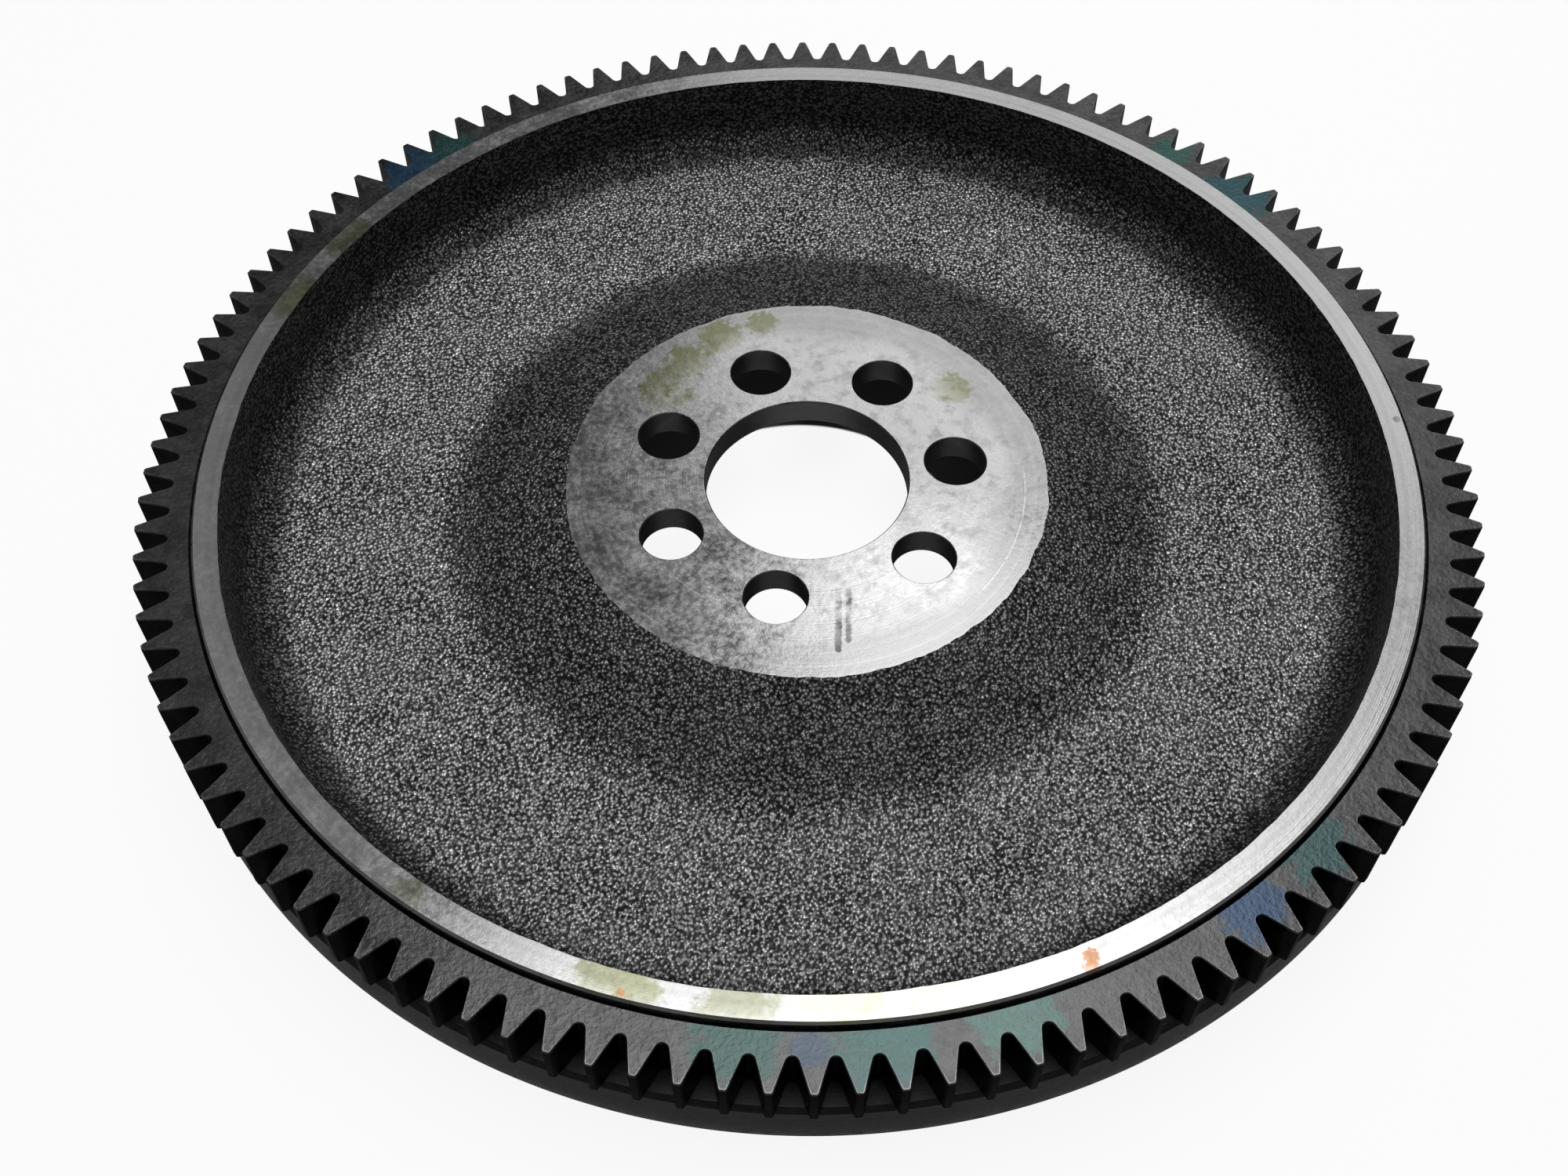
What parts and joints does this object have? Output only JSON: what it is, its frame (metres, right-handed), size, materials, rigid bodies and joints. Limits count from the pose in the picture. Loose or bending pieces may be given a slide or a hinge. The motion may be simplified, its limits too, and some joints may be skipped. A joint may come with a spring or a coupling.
{
  "type": "engine flywheel",
  "caption": "Dished engine flywheel with a starter ring gear, a machined crank face with an uneven bolt circle, a friction face and clutch dowels.",
  "frame": {"origin": "centre of the crank register on the crank mating face", "axes": "+Z along the crankshaft axis, from the flywheel towards the crankshaft; -Y through the middle of the wide gap in the crank bolt circle"},
  "size_m": [0.2842, 0.2842, 0.0315],
  "materials": {
    "cast_iron": "as cast, with turned faces",
    "gear_steel": "black oxide from the shrink heat",
    "dowel_steel": "ground"
  },
  "bodies": {
    "root": {"flywheel_body": "cast_iron", "ring_gear": "gear_steel", "clutch_dowel_1": "dowel_steel", "clutch_dowel_2": "dowel_steel", "clutch_dowel_3": "dowel_steel"}
  },
  "joints": []
}
